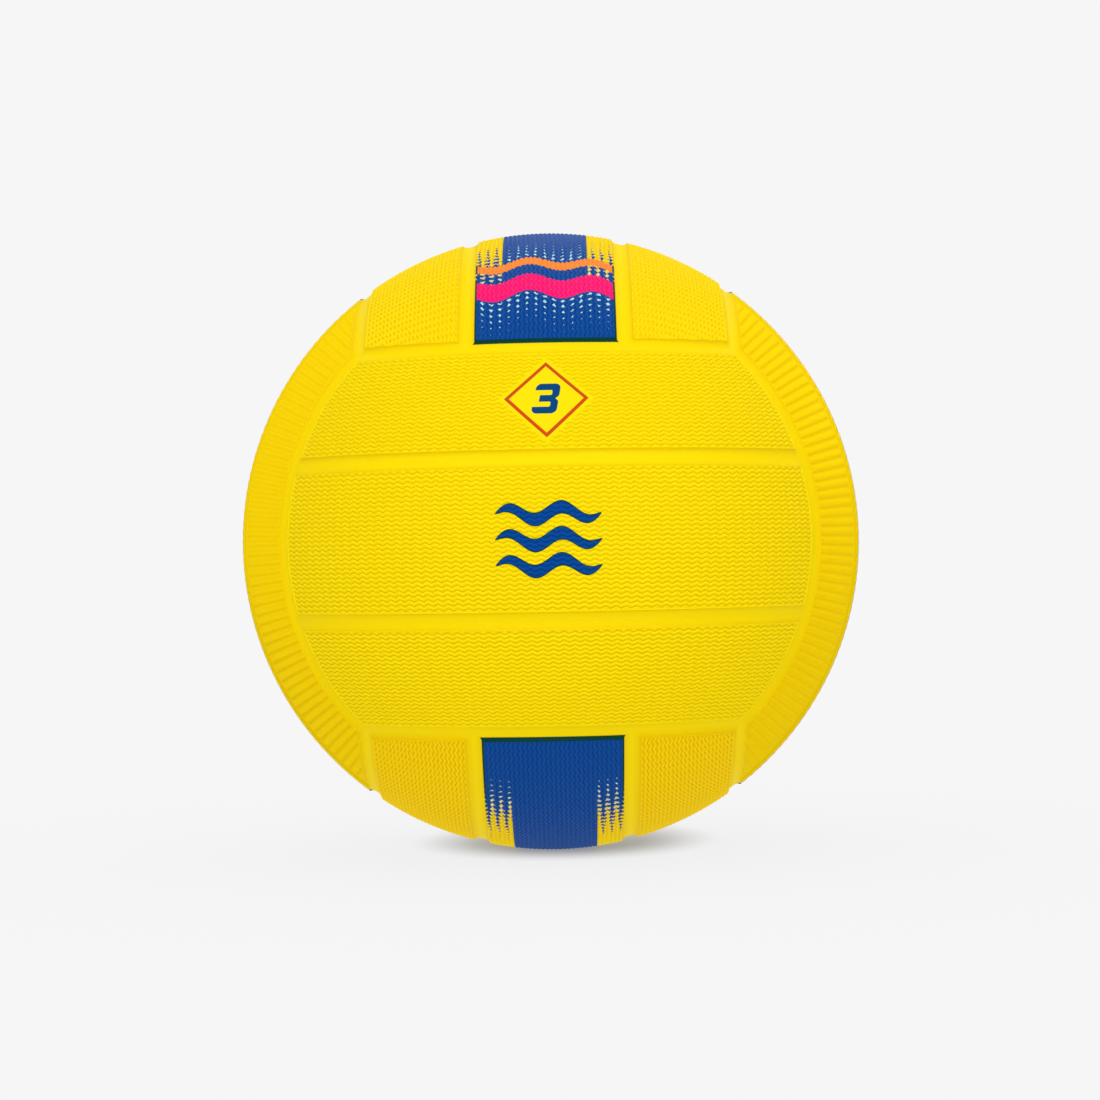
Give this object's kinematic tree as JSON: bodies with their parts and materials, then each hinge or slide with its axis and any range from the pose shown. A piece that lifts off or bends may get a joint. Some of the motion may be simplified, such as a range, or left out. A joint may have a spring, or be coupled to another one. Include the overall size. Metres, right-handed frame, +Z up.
{
  "type": "water polo ball",
  "caption": "Round water polo ball: grip-ribbed rubber strips with smooth channels between them, over a wound bladder, with a needle valve at the back.",
  "frame": {"origin": "centre of the ball", "axes": "+Z up, -Y towards the front group of panels, +Y out through the valve"},
  "size_m": [0.19, 0.1899, 0.19],
  "materials": {
    "panel_rubber": "satin",
    "printed_panel": "satin",
    "channel_rubber": "satin",
    "nylon_thread": "matte",
    "butyl_rubber": "satin",
    "valve_rubber": "satin",
    "core_rubber": "satin"
  },
  "bodies": {
    "ball": {"front_panel_upper": "panel_rubber", "front_panel_middle": "panel_rubber", "front_panel_lower": "panel_rubber", "back_panel_upper": "panel_rubber", "back_panel_middle": "panel_rubber", "back_panel_lower": "panel_rubber", "left_panel_front": "panel_rubber", "left_panel_middle": "printed_panel", "left_panel_rear": "panel_rubber", "right_panel_front": "panel_rubber", "right_panel_middle": "printed_panel", "right_panel_rear": "panel_rubber", "top_panel_left": "panel_rubber", "top_panel_middle": "printed_panel", "top_panel_right": "panel_rubber", "bottom_panel_left": "panel_rubber", "bottom_panel_middle": "printed_panel", "bottom_panel_right": "panel_rubber", "under_cover": "channel_rubber", "winding": "nylon_thread", "bladder": "butyl_rubber", "valve_housing": "valve_rubber"},
    "valve_core": {"valve_core": "core_rubber"}
  },
  "joints": [
    {"name": "valve_core_pull", "type": "slide", "parent": "ball", "child": "valve_core", "axis": [0, 1, 0], "range_m": [0, 0.022]}
  ]
}
